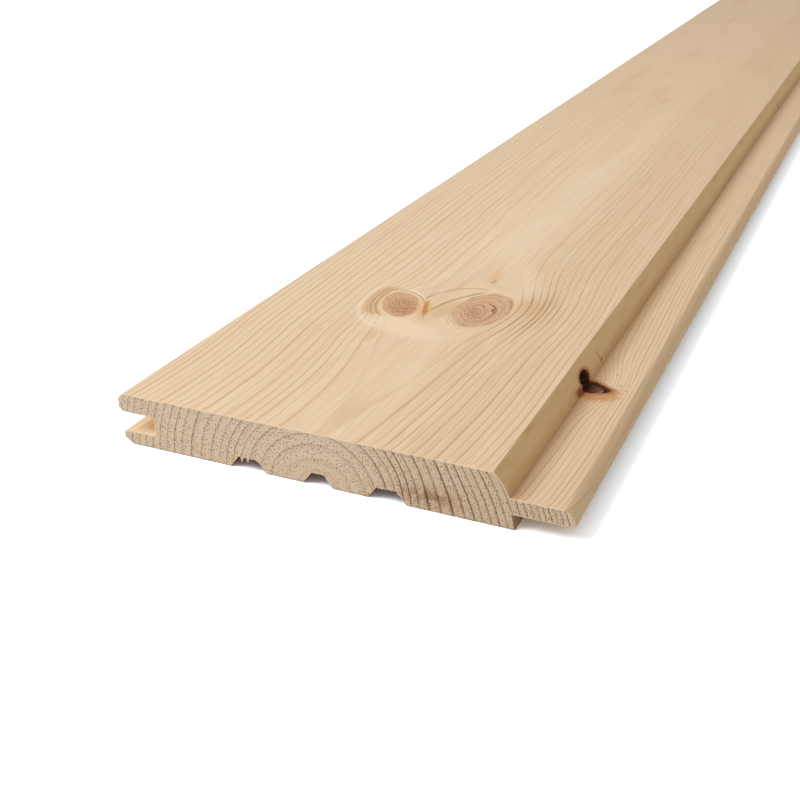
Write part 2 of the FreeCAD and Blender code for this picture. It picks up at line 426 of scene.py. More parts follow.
near_rows = strip_rows(0, near_strip, near_bottom, picture_side - margin)
far_rows = strip_rows(near_strip, len(stations) - 1, far_bottom, far_top)
row_start = np.concatenate([near_rows[:-1], far_rows[:-1]])
row_end = np.concatenate([near_rows[1:], far_rows[1:]])
column_start = margin + walk_start / girth * (picture_side - 2 * margin)
column_end = margin + walk_end / girth * (picture_side - 2 * margin)
quad_places = np.empty((len(stations) - 1, len(outline), 4, 2))
quad_places[..., 0] = np.stack([column_start, column_end, column_end, column_start], -1)
quad_places[..., 1] = np.stack([row_start, row_start, row_end, row_end], -1)[:, None]
flat_loops = quad_places.reshape(-1, 2)
cap_points = skin_points[loop_point[len(flat_loops):]] / MM
cap_scale = 4.0
cap_left = np.where(cap_points[:, 1] < 0, margin, picture_side / 2 + margin)
cap_loops = np.stack([cap_left + (cap_points[:, 0] - cap_points[:, 0].min()) * cap_scale,
                      margin + cap_points[:, 2] * cap_scale], 1)
picture_places = np.concatenate([flat_loops, cap_loops]) / picture_side
board_mesh.uv_layers.new(name="OFBake").data.foreach_set("uv", picture_places.ravel())
print("picture places from", picture_places.min(axis=0), "to", picture_places.max(axis=0))

# %% [markdown]
# The wood is one material with many steps, so the steps get short names. A Reading is a
# number that changes from place to place; adding or multiplying readings puts Math nodes
# in the material. All lengths in the material are millimetres.
# %% Readings
wood = bpy.data.materials.new("solid_softwood")
wood.use_nodes = True
nodes, links = wood.node_tree.nodes, wood.node_tree.links
nodes.clear()


def plug_in(value, socket):
    """Join a reading to a socket, or type a plain number or colour into it."""
    if isinstance(value, Reading):
        links.new(value.socket, socket)
    else:
        socket.default_value = value


def calc(operation, *values):
    """One Math node."""
    node = nodes.new("ShaderNodeMath")
    node.operation = operation
    for value, socket in zip(values, node.inputs):
        plug_in(value, socket)
    return Reading(node.outputs[0])


class Reading:
    """A number that changes over the wood, as the socket that gives it."""

    def __init__(self, socket):
        self.socket = socket

    def __add__(self, other):
        return calc("ADD", self, other)

    def __sub__(self, other):
        return calc("SUBTRACT", self, other)

    def __rsub__(self, other):
        return calc("SUBTRACT", other, self)

    def __mul__(self, other):
        return calc("MULTIPLY", self, other)

    def __truediv__(self, other):
        return calc("DIVIDE", self, other)

    __radd__, __rmul__ = __add__, __mul__


print("readings are ready in", wood.name)

# %% [markdown]
# Most patterns are shaped by a ramp, which goes smoothly from one level to another, or by
# a bell, which is high near one value.
# %% Ramps and bells


def rise(value, low, high):
    """From 0 at low to 1 at high, level at both ends; low may be the larger."""
    node = nodes.new("ShaderNodeMapRange")
    node.interpolation_type = "SMOOTHSTEP"
    plug_in(value, node.inputs["Value"])
    node.inputs["From Min"].default_value = low
    node.inputs["From Max"].default_value = high
    return Reading(node.outputs["Result"])


def hill(value, middle, half_width):
    """A bell: 1 at the middle, about a third at half_width, and nought far away."""
    apart = (value - middle) * (1 / half_width)
    return calc("EXPONENT", apart * apart * -1.0)


print("a bell is", round(np.exp(-1), 2), "at its half width")

# %% [markdown]
# A place is three readings in one socket. It can be taken apart, moved, and measured from
# another centre, on turned and stretched axes, so an oval is the distance on such axes.
# %% Places


def place_of(x, y, z):
    """Three readings as one place."""
    node = nodes.new("ShaderNodeCombineXYZ")
    for value, socket in zip((x, y, z), node.inputs):
        plug_in(value, socket)
    return Reading(node.outputs[0])


def parts_of(place):
    """One place as three readings."""
    node = nodes.new("ShaderNodeSeparateXYZ")
    plug_in(place, node.inputs[0])
    return [Reading(output) for output in node.outputs]


def seen_from(place, centre, turn=0.0, size=(1, 1, 1)):
    """A place measured from a centre, on turned axes, in units of a size."""
    node = nodes.new("ShaderNodeMapping")
    node.vector_type = "TEXTURE"
    plug_in(place, node.inputs["Vector"])
    node.inputs["Location"].default_value = centre
    node.inputs["Rotation"].default_value = (0, 0, turn)
    node.inputs["Scale"].default_value = size
    return Reading(node.outputs[0])


def moved(place, by):
    """A place moved by an arrow."""
    node = nodes.new("ShaderNodeVectorMath")
    plug_in(place, node.inputs[0])
    plug_in(by, node.inputs[1])
    return Reading(node.outputs["Vector"])


def distance(place):
    """Length of a place's arrow from the centre."""
    node = nodes.new("ShaderNodeVectorMath")
    node.operation = "LENGTH"
    plug_in(place, node.inputs[0])
    return Reading(node.outputs["Value"])


print("places can be moved, turned, stretched and measured")

# %% [markdown]
# Two more shapes for numbers: a cloud is noise with lumps of a given size, and a chart is
# a curve drawn through marks.
# %% Clouds and charts


def cloud(place, size, detail=1.0, roughness=0.5):
    """Noise from about -0.5 to 0.5, with lumps of the given size along x, y and z."""
    node = nodes.new("ShaderNodeTexNoise")
    plug_in(seen_from(place, (0, 0, 0), 0, size), node.inputs["Vector"])
    node.inputs["Scale"].default_value = 1.0
    node.inputs["Detail"].default_value = detail
    node.inputs["Roughness"].default_value = roughness
    return Reading(node.outputs["Fac"]) - 0.5


def chart(value, span, lowest, highest, marks):
    """A drawn curve: marks are (input, output) pairs, and span is the largest input."""
    node = nodes.new("ShaderNodeFloatCurve")
    plug_in(value * (1 / span), node.inputs["Value"])
    line = node.mapping.curves[0]
    flat = [(x / span, (y - lowest) / (highest - lowest)) for x, y in marks]
    line.points[0].location, line.points[1].location = flat[0], flat[-1]
    for x, y in flat[1:-1]:
        line.points.new(x, y)
    node.mapping.update()
    return Reading(node.outputs[0]) * (highest - lowest) + lowest


print("clouds and charts are ready")

# %% [markdown]
# Colours are laid on like coats of thin paint, each with a share that changes from place
# to place. A tint is typed as a paint program names it and turned into amounts of light.
# %% Tints and coats


def blend(share, first, second):
    """One Mix Color node, from the first colour to the second."""
    node = nodes.new("ShaderNodeMix")
    node.data_type = "RGBA"
    plug_in(share, node.inputs["Factor"])
    plug_in(first, node.inputs["A"])
    plug_in(second, node.inputs["B"])
    return Reading(node.outputs["Result"])


def tint(red, green, blue):
    """A colour as a paint program names it, 0 to 255, turned into light."""
    parts = np.array([red, green, blue]) / 255
    light = np.where(parts <= 0.04045, parts / 12.92, ((parts + 0.055) / 1.055) ** 2.4)
    return (*light.tolist(), 1.0)


def coats(colour, *layers):
    """Lay tints over a colour in turn: each layer is a share, then red, green and blue."""
    for share, *paint in layers:
        colour = blend(share, colour, tint(*paint))
    return colour


print("middle grey is", round(tint(128, 128, 128)[0], 3), "of white's light")

# %% [markdown]
# Every pattern starts from a place in the wood: across from the groove side, along from
# the near end, and up from the back. Object coordinates are metres from the middle of
# the board, so they are moved and stretched once. What follows the skin itself, such as
# the dead knot, starts from the skin laid flat, which the mesh carries.
# %% Places in the wood
coordinates = nodes.new("ShaderNodeTexCoord")
wood_place = seen_from(Reading(coordinates.outputs["Object"]),
                       (board_low.x, board_low.y, 0), 0, (MM, MM, MM))
across, along, up = parts_of(wood_place)
plan_place = place_of(across, along, 0.0)
end_place = place_of(across, 0.0, up)
high_up = rise(up, 6, 11)


def carried(name, output):
    """What the mesh carries under a name."""
    node = nodes.new("ShaderNodeAttribute")
    node.attribute_name = name
    return Reading(node.outputs[output])


flat_place = carried("laid_flat", "Vector")
flat_way, flat_along, _ = parts_of(flat_place)
rim_share = carried("rim", "Fac")
_, end_facing, _ = parts_of(Reading(coordinates.outputs["Normal"]))
sawn = rise(calc("ABSOLUTE", end_facing), 0.6, 0.85)


def oval(centre, half_size, turn=0.0):
    """Distance from a centre in units of an oval's half size, seen from above."""
    return distance(seen_from(plan_place, (*centre, 0), turn, (*half_size, 1)))


def flat_oval(centre, half_size, turn=0.0):
    """Distance from a centre in units of an oval's half size, on the skin laid flat."""
    return distance(seen_from(flat_place, (*centre, 0), turn, (*half_size, 1)))


print("places in the wood take", len(nodes), "nodes")

# %% [markdown]
# The rings are circles about the pith, the line where the tree's growth began. Here it
# lies just under the near end and wanders along the board, as the charts of its place
# say. Slow and quick noise sway it further, but hardly at the near end, where the rings
# have to lie as they do on the real board.
# %% The pith
root = calc("SQRT", along * (1 / length))


def chart_along(lowest, highest, marks):
    """A chart of (millimetres from the near end, value), drawn finer near that end."""
    return chart(root, 1.0, lowest, highest, [((y / length) ** 0.5, v) for y, v in marks])


pith_across = chart_along(40, 70, [
    (0, 57.4), (15, 58.8), (30, 59.2), (50, 58.4), (60, 57.8), (90, 57.0), (160, 55.3),
    (300, 53.8), (450, 52.6), (720, 53.5), (1040, 57.5), (1450, 54.0), (2000, 58.0)])
pith_up = chart_along(-6, 10, [
    (0, -1.2), (15, -0.9), (30, -0.1), (50, 1.8), (60, 2.8), (90, 2.5), (120, 2.0),
    (160, 2.0), (200, 4.0), (300, 5.0), (450, 5.0), (720, 3.0), (1040, 6.0), (1450, 3.5),
    (2000, 2.0)])
loose = rise(along, 10, 150) * 0.8 + 0.2
sway = cloud(wood_place, (28, 190, 28)) * loose * 2.4
ripple = cloud(wood_place, (7, 55, 7)) * loose * 0.5
print("with the pith it takes", len(nodes), "nodes")

# %% [markdown]
# On the right the rings lean outwards, and beside the right knot they bulge away from it
# under the face. Rings are wide near the pith and narrow outwards, so a chart turns the
# distance from the pith into a count of rings.
# %% The rings
right_lean = (up - 7.0) * 0.24 * rise(across, 80, 100)
bulge = hill(along, 97, 26) * rise(across, 60, 71) * (1.0 - rise(across, 76, 104) * 0.8)
aside = across - pith_across + right_lean + sway + ripple - bulge * high_up * 6.0
squeeze = rise(aside, -14, 14) * 0.07 + 0.93
from_pith = distance(place_of(aside * squeeze, 0.0, up - pith_up))
ring_count = chart(from_pith, 80.0, 0, 42, [
    (0, 0), (8.9, 3), (12.6, 4), (15.35, 5), (18.5, 6), (22.6, 8), (26.3, 10), (31.3, 12),
    (36.6, 14), (40.7, 16), (46.7, 19), (52.3, 22), (62, 29), (80, 42)])
print("with the rings it takes", len(nodes), "nodes")

# %% [markdown]
# Knots are branches, and the rings flow round them. Each one is an oval seen from above,
# with a reading that is 0 in its heart and 1 on its rim. A bell round each oval is taken
# off the ring count, which bends the lines out round the knot. A branch's own heart is
# seldom in the middle of its oval, so the inner rings are drawn round a shifted centre.
# %% The sound knots, seen from above
knot_fray = cloud(plan_place, (1.8, 3.0, 2), 2.0, 0.55)
knots = [
    # across, along, half width, half length, turn, heart's shift, rings pushed, reach
    (41.2, 85.8, 5.5, 9.9, radians(24), (0.1, -0.15), 2.5, 1.7),
    (65.5, 91.4, 7.7, 13.8, radians(-3), (-0.28, -0.32), 1.7, 1.25),
    (31.0, 968.0, 6.0, 9.5, radians(-10), (0.1, 0.2), 2.4, 1.4),
    (73.0, 985.0, 7.0, 12.0, radians(12), (0.1, -0.2), 2.6, 1.4),
    (48.0, 1508.0, 8.5, 12.5, radians(5), (0.2, 0.1), 2.8, 1.4),
    (90.0, 1492.0, 4.0, 6.0, radians(-8), (0.0, 0.2), 1.6, 1.5),
]
nearest_knot, nearest_heart, pushed = 9.0, 9.0, 0.0
for knot_across, knot_y, half_width, half_length, turn, shift, push, reach in knots:
    seen = seen_from(plan_place, (knot_across, knot_y, 0), turn, (half_width, half_length, 1))
    gap = distance(seen)
    inward = 1.0 - calc("MINIMUM", gap, 1.0)
    heart = distance(moved(seen, place_of(inward * -shift[0], inward * -shift[1], 0.0)))
    pushed = calc("EXPONENT", gap * gap * (-1 / reach**2)) * push + pushed
    nearest_knot = calc("MINIMUM", gap, nearest_knot)
    nearest_heart = calc("MINIMUM", heart, nearest_heart)
print(len(knots), "sound knots, from", knots[0][1], "to", max(knot[1] for knot in knots), "mm")

# %% [markdown]
# Two smaller bends are on the tongue: round the dead knot, and at a narrow spike further
# along. All of them are taken off the ring count. The knots in the face bend only the
# wood high up, so the back keeps its straight lines.
# %% Rings bent round the knots
dead_bell = oval((104.8, 66.0), (9.0, 15))
dead_push = calc("EXPONENT", dead_bell * dead_bell * -1.0) * rise(up, 13, 9) * 5.0
spike_bell = oval((112.0, 446.0), (4.0, 15.0), radians(-35))
spike_push = calc("EXPONENT", spike_bell * spike_bell * -1.0) * 1.5
bent_count = ring_count - pushed * high_up - dead_push - spike_push
print("with the bends it takes", len(nodes), "nodes")

# %% [markdown]
# Within a ring the wood starts pale, darkens through the summer and stops short at a
# hard dark line. Some years leave a stronger line than others, and the first few years
# round the pith hardly any.
# %% Early and late wood
year = calc("FLOOR", bent_count)
season = bent_count - year
year_noise = nodes.new("ShaderNodeTexNoise")
year_noise.noise_dimensions = "1D"
plug_in(year * 3.7, year_noise.inputs["W"])
year_noise.inputs["Detail"].default_value = 0
year_noise.inputs["Scale"].default_value = 1.0
year_strength = rise(Reading(year_noise.outputs["Fac"]), 0.3, 0.7) * 0.55 + 0.45
year_strength = year_strength * (rise(bent_count, 3.1, 5.1) * 0.88 + 0.12)
summer = rise(season, 0.40, 0.95)
hard_stop = rise(season, 1.0, 0.965)
late_line = hill(season, 0.87, 0.11) * hard_stop * year_strength
late_wood = summer * summer * 0.2 * hard_stop * year_strength + late_line * 0.8
spring = rise(season, 0.35, 0.04) * year_strength
print("with the seasons it takes", len(nodes), "nodes")

# %% [markdown]
# On a planed surface the fibres show as fine streaks along the grain, and the tone
# drifts in wide soft bands: a tan heart zone to the right of the middle, pinkish patches,
# and pale wood where the cut runs along one ring.
# %% Fibres and bands
fibre = cloud(wood_place, (0.30, 16, 0.30), 2.0, 0.6)
streak = cloud(wood_place, (0.8, 45, 0.8))
streaky = 1.0 - rise(along, 150, 420) * rise(along, 1200, 850) * 0.6
band = cloud(wood_place, (9, 260, 9))
pink = rise(cloud(wood_place, (14, 120, 14)), 0.02, 0.22)
heart_zone = rise(across, 60, 80)
pale_strip = hill(across, 55.5, 8) * rise(along, 112, 150) * rise(along, 420, 220)
far_off = rise(along, 150, 600)
print("with fibres and bands it takes", len(nodes), "nodes")

# %% [markdown]
# The colour of the planed face starts from cream. Each coat is a share of a tint over
# what is already there: the pale strip, the heart zone, pink, wide pale bands, and a
# slightly duller tone far off.
# %% Colour of the planed face
face_colour = coats(
    tint(235, 207, 172),
    (pale_strip * 0.7, 240, 218, 188),
    (heart_zone * (0.6 - far_off * 0.25), 226, 193, 156),
    (pink * (far_off * 0.35 + 0.3), 228, 192, 160),
    (rise(band, 0.0, 0.3) * 0.3, 238, 216, 184),
    (far_off * (heart_zone * 0.1 + 0.17), 224, 188, 150))
print("with the face's colour it takes", len(nodes), "nodes")

# %% [markdown]
# How strongly the lines show depends on the place: most near the sawn end, hardly at all
# far along on the left. They fade on the rounded nose of the tongue and in two pale
# spots, one in the middle of the near end and one beside the right knot.
# %% How strongly the lines show
left_show = chart_along(0, 1, [
    (0, 0.76), (60, 0.74), (130, 0.62), (290, 0.42), (400, 0.26), (630, 0.10), (1000, 0.3),
    (2000, 0.5)])
left_show = left_show * (1.3 - rise(across, 8, 30) * 0.42)
right_show = chart_along(0, 1, [
    (0, 0.86), (60, 0.82), (130, 0.66), (290, 0.47), (630, 0.30), (1000, 0.4), (2000, 0.5)])
line_show = left_show + (right_show - left_show) * rise(across, 50, 75)
on_nose = rise(flat_way, 12.4, 13.4) * rise(flat_way, 19, 18)
on_tongue = rise(flat_way, 0, 2) * rise(flat_way, 19, 18)
line_show = line_show * (on_tongue * (0.25 - far_off * 0.5) + 1.0 - on_nose * 0.8)
near_calm = rise(oval((58, 50), (12, 35)), 1.1, 0.5) * high_up
beside_calm = rise(oval((70.5, 120), (5, 19), radians(18)), 1.2, 0.4)
line_show = line_show * (1.0 - near_calm * 0.85) * (1.0 - pale_strip * 0.6)
line_show = line_show * (1.0 - beside_calm * 0.7)
print("with the strength of the lines it takes", len(nodes), "nodes")

# %% [markdown]
# Now the lines go on: pale spring wood, honey-coloured late wood, and over both the dark
# and pale sides of the streaks and fibres.
# %% Lines and fibres on the face
pale_fibre = (246, 224, 194)
face_colour = coats(
    face_colour,
    (beside_calm * 0.5, 242, 219, 187),
    (spring * line_show * 0.3, 246, 222, 190),
    (late_wood * line_show * 0.8, 184, 142, 94),
    (streaky * rise(streak, 0.02, 0.28) * 0.32, 210, 174, 132),
    (streaky * rise(streak, -0.02, -0.28) * 0.3, *pale_fibre),
    (streaky * rise(fibre, 0.0, 0.35) * 0.5, 206, 170, 128),
    (streaky * rise(fibre, 0.0, -0.35) * 0.35, *pale_fibre))
print("with the lines it takes", len(nodes), "nodes")

# %% [markdown]
# The rounded edge is darker brown, partly the cutter's burnish and partly painted shade,
# as it faces away from the window, with a painted paler band along its middle. The crease
# below it is painted shade. The nose of the tongue gets a little painted shade too, the
# inside of the groove is painted paler where the light falls into it, and the walls of
# the grooves in the back and the back shoulder are painted deep brown as their shade.
# %% Edge, crease, nose and grooves
on_edge = rise(flat_way, -7.4, -6.9) * rise(flat_way, 0.3, -0.1)
# the crease's share of painted shade: on the foot of the edge and on the shelf beside it
crease_painted_shade = hill(flat_way, -0.8, 1.5) * 0.2
crease_painted_shade = crease_painted_shade + rise(flat_way, 6.0, 0.0) * rise(flat_way, -0.2, 0.2) * 0.56
mottle = cloud(flat_place, (3, 14, 1))
in_groove = rise(across, 10.8, 10.65) * rise(up, 3.6, 3.75) * rise(up, 8.9, 8.75)
in_relief = rise(across, 30, 31) * rise(across, 83, 82) * rise(up, 0.02, 0.3) * rise(up, 3.5, 3.3)
on_shoulder = rise(across, 105.6, 105.9) * rise(across, 107.4, 107.2) * rise(up, 3.83, 3.6)
face_colour = coats(
    face_colour,
    # painted shade on the rounded edge, partly the cutter's burnish, darker far off
    (on_edge * (far_off * 0.14 + 0.6), 216, 172, 106),
    (on_edge * rise(mottle, 0.0, 0.3) * 0.3, 186, 142, 82),
    (on_edge * rise(mottle, 0.0, -0.3) * 0.3, 232, 198, 146),
    # a painted paler band along the middle of the rounded edge
    (on_edge * hill(flat_way, -3.4, 1.4) * 0.35, 234, 200, 148),
    # painted shade in the crease
    (crease_painted_shade, 172, 128, 74),
    # painted shade on the nose of the tongue
    (on_nose * 0.3, 210, 172, 112),
    # painted light inside the groove, where the window shines in
    (in_groove * 0.6, 255, 230, 188),
    # painted shade on the walls of the relief grooves and on the back shoulder
    (in_relief * 0.96 + on_shoulder * 0.42, 130, 64, 12))
print("with the edges it takes", len(nodes), "nodes")

# %% [markdown]
# On the sawn end the fibres are cut across: a rough, speckled surface with brown resin
# pores. A pore is a dot in a cell of a Voronoi pattern, if the cell's own chance is high
# enough. Pores gather where the late wood starts and are rare round the pith.
# %% Grit and pores of the sawn end
end_grit = cloud(end_place, (0.20, 1, 0.20), 2.0, 0.7)
end_patch = cloud(end_place, (1.6, 1, 1.6))
pith_calm = rise(from_pith, 10, 5)


def pore_dots(per_mm, least, most, radius):
    """Round dots, this many cells to the millimetre: all cells whose chance is over most
    have one, and none whose chance is under least."""
    cells = nodes.new("ShaderNodeTexVoronoi")
    cells.voronoi_dimensions = "2D"
    cells.inputs["Scale"].default_value = per_mm
    shaken = place_of(across + end_grit * 0.3, up + end_patch * 0.8, 0.0)
    plug_in(shaken, cells.inputs["Vector"])
    chance = parts_of(Reading(cells.outputs["Color"]))[0] - pith_calm * 0.4
    dot = rise(Reading(cells.outputs["Distance"]), radius, radius * 0.45)
    return dot * rise(chance + rise(season, 0.2, 0.6) * 0.22, least, most)


large_pores, small_pores = pore_dots(1.2, 0.50, 0.60, 0.21), pore_dots(2.2, 0.70, 0.86, 0.27)
pores = calc("MAXIMUM", large_pores, small_pores * 0.75)
print("with the pores it takes", len(nodes), "nodes")

# %% [markdown]
# The sawn end is duller than the face. Its ring lines are dark and hard, and strongest
# in the right half, where an old stain has run in from the back. Its furry rim is given a
# painted highlight above and painted shade below.
# %% Colour of the sawn end
end_line = hill(season, 0.93, 0.062) * hard_stop * year_strength
end_weight = rise(across, 40, 75) * 0.14 + 0.66
end_lines = summer * summer * hard_stop * 0.14 + end_line * end_weight
end_lines = end_lines + late_line * (rise(across, 62, 82) * 0.60 - rise(across, 103, 105) * 0.08)
stain = hill(across, 86.5, 7.5) * hill(up, 3.8, 2.5) * rise(along, 30, 0)
stain = stain * rise(end_patch, -0.3, 0.1)
rim_painted_highlight = rim_share * rise(up, 1.0, 1.4)
rim_painted_shade = rim_share * rise(up, 0.5, 0.2)
end_colour = coats(
    tint(238, 214, 186),
    (heart_zone * 0.45, 220, 190, 158),
    (rise(across, 92, 98) * 0.4, 222, 194, 164),
    (pith_calm * 0.5, 230, 196, 164),
    (rise(end_patch, 0.0, 0.35) * 0.4, 244, 222, 196),
    (end_lines, 114, 64, 10),
    (rise(end_grit, 0.0, 0.2) * 0.6, 164, 128, 92),
    (rise(end_grit, -0.02, -0.15) * 0.95, 255, 248, 228),
    (stain * (late_line * 0.6 + 0.6), 130, 74, 28),
    (pores * 0.98, 112, 58, 8),
    # painted highlight on the upper furry rim
    (rim_painted_highlight * rise(end_grit, -0.3, 0.0) * 0.9, 246, 218, 184),
    # painted shade on the lower furry rim
    (rim_painted_shade * rise(end_grit, -0.1, 0.1) * 0.7, 120, 92, 66))
plain_wood = blend(sawn, face_colour, end_colour)
print("with the sawn end it takes", len(nodes), "nodes")

# %% [markdown]
# A sound knot is the branch itself cut across: its own fine rings, pinkish brown, a dark
# line where it meets the board, and paler, yellower wood beyond. The left knot is rather
# speckled than ringed. The right one has a tight oval of rings and a grainy lobe above.
# %% Colour inside the sound knots
knot_edge = nearest_knot + knot_fray * 0.12
in_knot = rise(knot_edge, 1.04, 0.90) * high_up
right_side = rise(across, 52, 56)
lobe_gap = oval((64.6, 88.9), (5.3, 8.3))
lobe = rise(lobe_gap + knot_fray * 0.1, 0.98, 1.06) * right_side
knot_rings = calc("PINGPONG", nearest_heart * 11.0 + knot_fray * 2.6, 1.0)
ring_show = rise(cloud(plan_place, (4.5, 6, 4)), -0.15, 0.15)
ring_weight = (right_side * 0.86 + 0.12) * (1.0 - lobe * 0.6) * (ring_show * 0.5 + 0.5)
knot_speck = cloud(plan_place, (0.55, 1.35, 1), 2.0, 0.55)
dark_heart = rise(oval((42.6, 84.3), (4.6, 7.2), radians(24)) + knot_fray * 0.4, 1.1, 0.7)
red_spot = rise(oval((43.8, 82.0), (2.6, 3.6)) + knot_fray * 0.8, 1.1, 0.2)
pink_spot = rise(oval((65.8, 91.1), (2.4, 3.4)) + knot_fray * 0.6, 1.2, 0.3)
knot_colour = coats(
    tint(210, 166, 126),
    (right_side, 216, 174, 136),
    (rise(knot_rings, 0.5, 1.0) * ring_weight, 118, 76, 44),
    (rise(nearest_heart, 0.4, 0.05) * right_side * 0.45, 148, 108, 72),
    (rise(nearest_heart, 0.75, 0.1) * right_side * 0.3, 174, 124, 84),
    (dark_heart * 0.6, 180, 128, 90),
    (rise(knot_speck, 0.01, 0.15) * (dark_heart * 0.42 + 0.32), 140, 88, 52),
    (rise(knot_speck, -0.02, -0.15) * 0.32, 244, 208, 168),
    (red_spot * 0.3, 164, 100, 66),
    (pink_spot * 0.5, 206, 152, 122))
print("with the inside of the knots it takes", len(nodes), "nodes")

# %% [markdown]
# The knots are laid into the board: a paler halo first, then the knot, its dark rim, the
# outline of the lobe, and two faint arcs at the near side of the right knot.
# %% Knots laid into the board
halo = hill(nearest_knot, 1.18, 0.2) * high_up
knot_rim = hill(knot_edge, 1.0, 0.055) * (ring_show * 0.5 + 0.35) * high_up
lobe_line = hill(lobe_gap + knot_fray * 0.16, 1.0, 0.05) * rise(across, 65, 68)
outer_arcs = hill(knot_edge, 1.10, 0.022) + hill(knot_edge, 1.21, 0.02) * 0.7
outer_arcs = outer_arcs * rise(along, 94, 84) * rise(across, 54, 57) * high_up
wood_colour = coats(plain_wood, (halo * 0.6, 240, 210, 170))
wood_colour = blend(in_knot * 0.88, wood_colour, knot_colour)
wood_colour = coats(
    wood_colour,
    (knot_rim * 0.7, 152, 106, 70),
    (lobe_line * in_knot * 0.5, 124, 82, 50),
    (outer_arcs * 0.4, 172, 130, 88))
print("with the knots laid in it takes", len(nodes), "nodes")

# %% [markdown]
# Round the left knot lies a collar, a wider oval: a tan band with fine arcs and a bright
# arc on its left, and a thin bright arc over a dark one at its upper right.
# %% The collar of the left knot
beside = (1.0 - in_knot) * high_up
band_gap = oval((44.3, 90.0), (12.3, 19.0)) + knot_fray * 0.04
left_band = rise(band_gap, 1.23, 1.13) * rise(band_gap, 0.78, 0.86) * rise(along, 73.5, 77)
left_band = left_band * beside * rise(along, 101, 95) * rise(across, 44, 39)
band_arcs = hill(band_gap, 1.0, 0.022) + hill(band_gap, 0.89, 0.024)
band_arcs = band_arcs + hill(band_gap, 1.08, 0.02) * 0.5
pale_arc = hill(band_gap, 1.25, 0.04) * rise(across, 46, 38) * rise(along, 104, 96) * beside
collar = seen_from(plan_place, (39.3, 85.9, 0), radians(24), (9.5, 12.5, 1))
collar_gap = distance(collar) + knot_fray * 0.06
collar_side, collar_end, _ = parts_of(collar)
upper_right = rise(collar_side + collar_end, 0.5, 0.9) * rise(collar_end, -0.2, 0.1) * high_up
at_right = rise(collar_side, 0.2, 0.7) * upper_right
wood_colour = coats(
    wood_colour,
    (pale_arc * 0.6, 250, 226, 194),
    (left_band * 0.8, 220, 182, 138),
    (left_band * band_arcs * 0.6, 166, 124, 76),
    (hill(collar_gap, 0.84, 0.09) * upper_right * 0.4, 234, 194, 156),
    (hill(collar_gap, 1.01, 0.03) * at_right * 0.9, 255, 230, 196),
    (hill(collar_gap, 0.94, 0.026) * upper_right * 0.6, 160, 118, 78))
print("with the collar it takes", len(nodes), "nodes")

# %% [markdown]
# Between and above the knots the grain sweeps in two dark crescents from the collar to
# the right knot, over a greenish tan. Each is a piece of an oval's outline.
# %% Crescents between the knots
swept = rise(across, 62.5, 60) * rise(collar_gap, 0.98, 1.06) * rise(along, 81, 87) * high_up
long_sweep = oval((68.9, 82.1), (17.8, 29.0), radians(-12))
crescents = hill(long_sweep + knot_fray * 0.04, 1.0, 0.026)
crescents = crescents + hill(oval((61, 90), (14.8, 18)) + knot_fray * 0.04, 1.0, 0.024) * 0.7
crescents = crescents * swept * rise(long_sweep, 1.9, 1.7)
green_tan = rise(oval((56.0, 88), (3.6, 9), radians(-14)) + knot_fray * 0.5, 1.2, 0.5) * beside
wood_colour = coats(
    wood_colour,
    (green_tan * 0.6, 212, 178, 132),
    (crescents * 0.7, 156, 114, 68))
print("with the crescents it takes", len(nodes), "nodes")

# %% [markdown]
# Two ticks of orange resin sit beside the knots, each in a fading patch of its own
# colour.
# %% Resin ticks
tick_fray = knot_fray * 0.9
small_tick = rise(oval((60.4, 115.6), (0.9, 2.6)) + tick_fray * 1.4, 1.3, 0.2) * 0.7
long_tick = rise(oval((49.4, 85.6), (1.0, 8.4), radians(17)) + tick_fray * 1.3, 1.2, 0.4)
small_fade = rise(oval((59.3, 120), (3.0, 9.5)), 1.0, 0.2) * 0.5
long_fade = rise(oval((49.4, 85), (3.4, 9.5), radians(16)), 1.05, 0.3) * 0.7
wood_colour = coats(
    wood_colour,
    (calc("MAXIMUM", small_fade, long_fade) * beside, 226, 182, 128),
    (calc("MAXIMUM", small_tick, long_tick) * beside * 0.8, 184, 128, 76))
print("with the resin ticks it takes", len(nodes), "nodes")

# %% [markdown]
# Round the knots the tone changes in soft patches: pale wood below them, a tan patch
# nearer the end, a fan of darker lines on the right of the right knot, and far along a
# pinkish spot where a branch lies just under the face.
# %% Patches round the knots
below_knots = rise(oval((49, 69), (16, 7), radians(-14)) + knot_fray * 0.4, 1.15, 0.4) * beside
tan_patch = rise(oval((43.0, 60.5), (2.2, 6.5), radians(6)) + knot_fray * 0.6, 1.2, 0.4) * high_up
fan = rise(oval((79, 94), (11, 22), radians(-6)), 1.15, 0.4) * beside
fan_heart = rise(oval((79, 98), (6, 10)) + knot_fray * 0.4, 1.2, 0.2) * beside
faint_knot = rise(oval((51, 420), (4.5, 12)) + knot_fray * 0.5, 1.2, 0.3) * high_up
wood_colour = coats(
    wood_colour,
    (below_knots * 0.6, 246, 224, 190),
    (tan_patch * 0.4, 220, 178, 138),
    (fan * (late_line * 1.1 + 0.08), 170, 122, 72),
    (fan_heart * 0.35, 206, 158, 108),
    (faint_knot * 0.35, 222, 178, 148))
print("with the patches it takes", len(nodes), "nodes")

# %% [markdown]
# The dead knot was black before the tree was felled. It is drawn on the skin laid flat,
# with the same two ovals that its hole was cut by, now as readings.
# %% Reach of the dead knot
flat_fray = cloud(flat_place, (1.6, 1.6, 1), 2.0, 0.6)
out = flat_way - knot_way
shelf_side = rise(out, -0.2, 0.2)
out_share = out * (shelf_side * (1 / reach_out) + (1.0 - shelf_side) * (1 / reach_up))
pinched = calc("MAXIMUM", calc("MINIMUM", out * (1 / reach_out), 1.0), 0.0) * knot_pinch
side_share = (flat_along - knot_along + out * knot_tilt) / ((1.0 - pinched) * knot_half)
body_gap = distance(place_of(out_share, side_share, 0.0))
head_gap = flat_oval((head_way, head_along), head_half)
dead_gap = calc("MINIMUM", body_gap, head_gap) + flat_fray * 0.18
print("with the dead knot's reach it takes", len(nodes), "nodes")

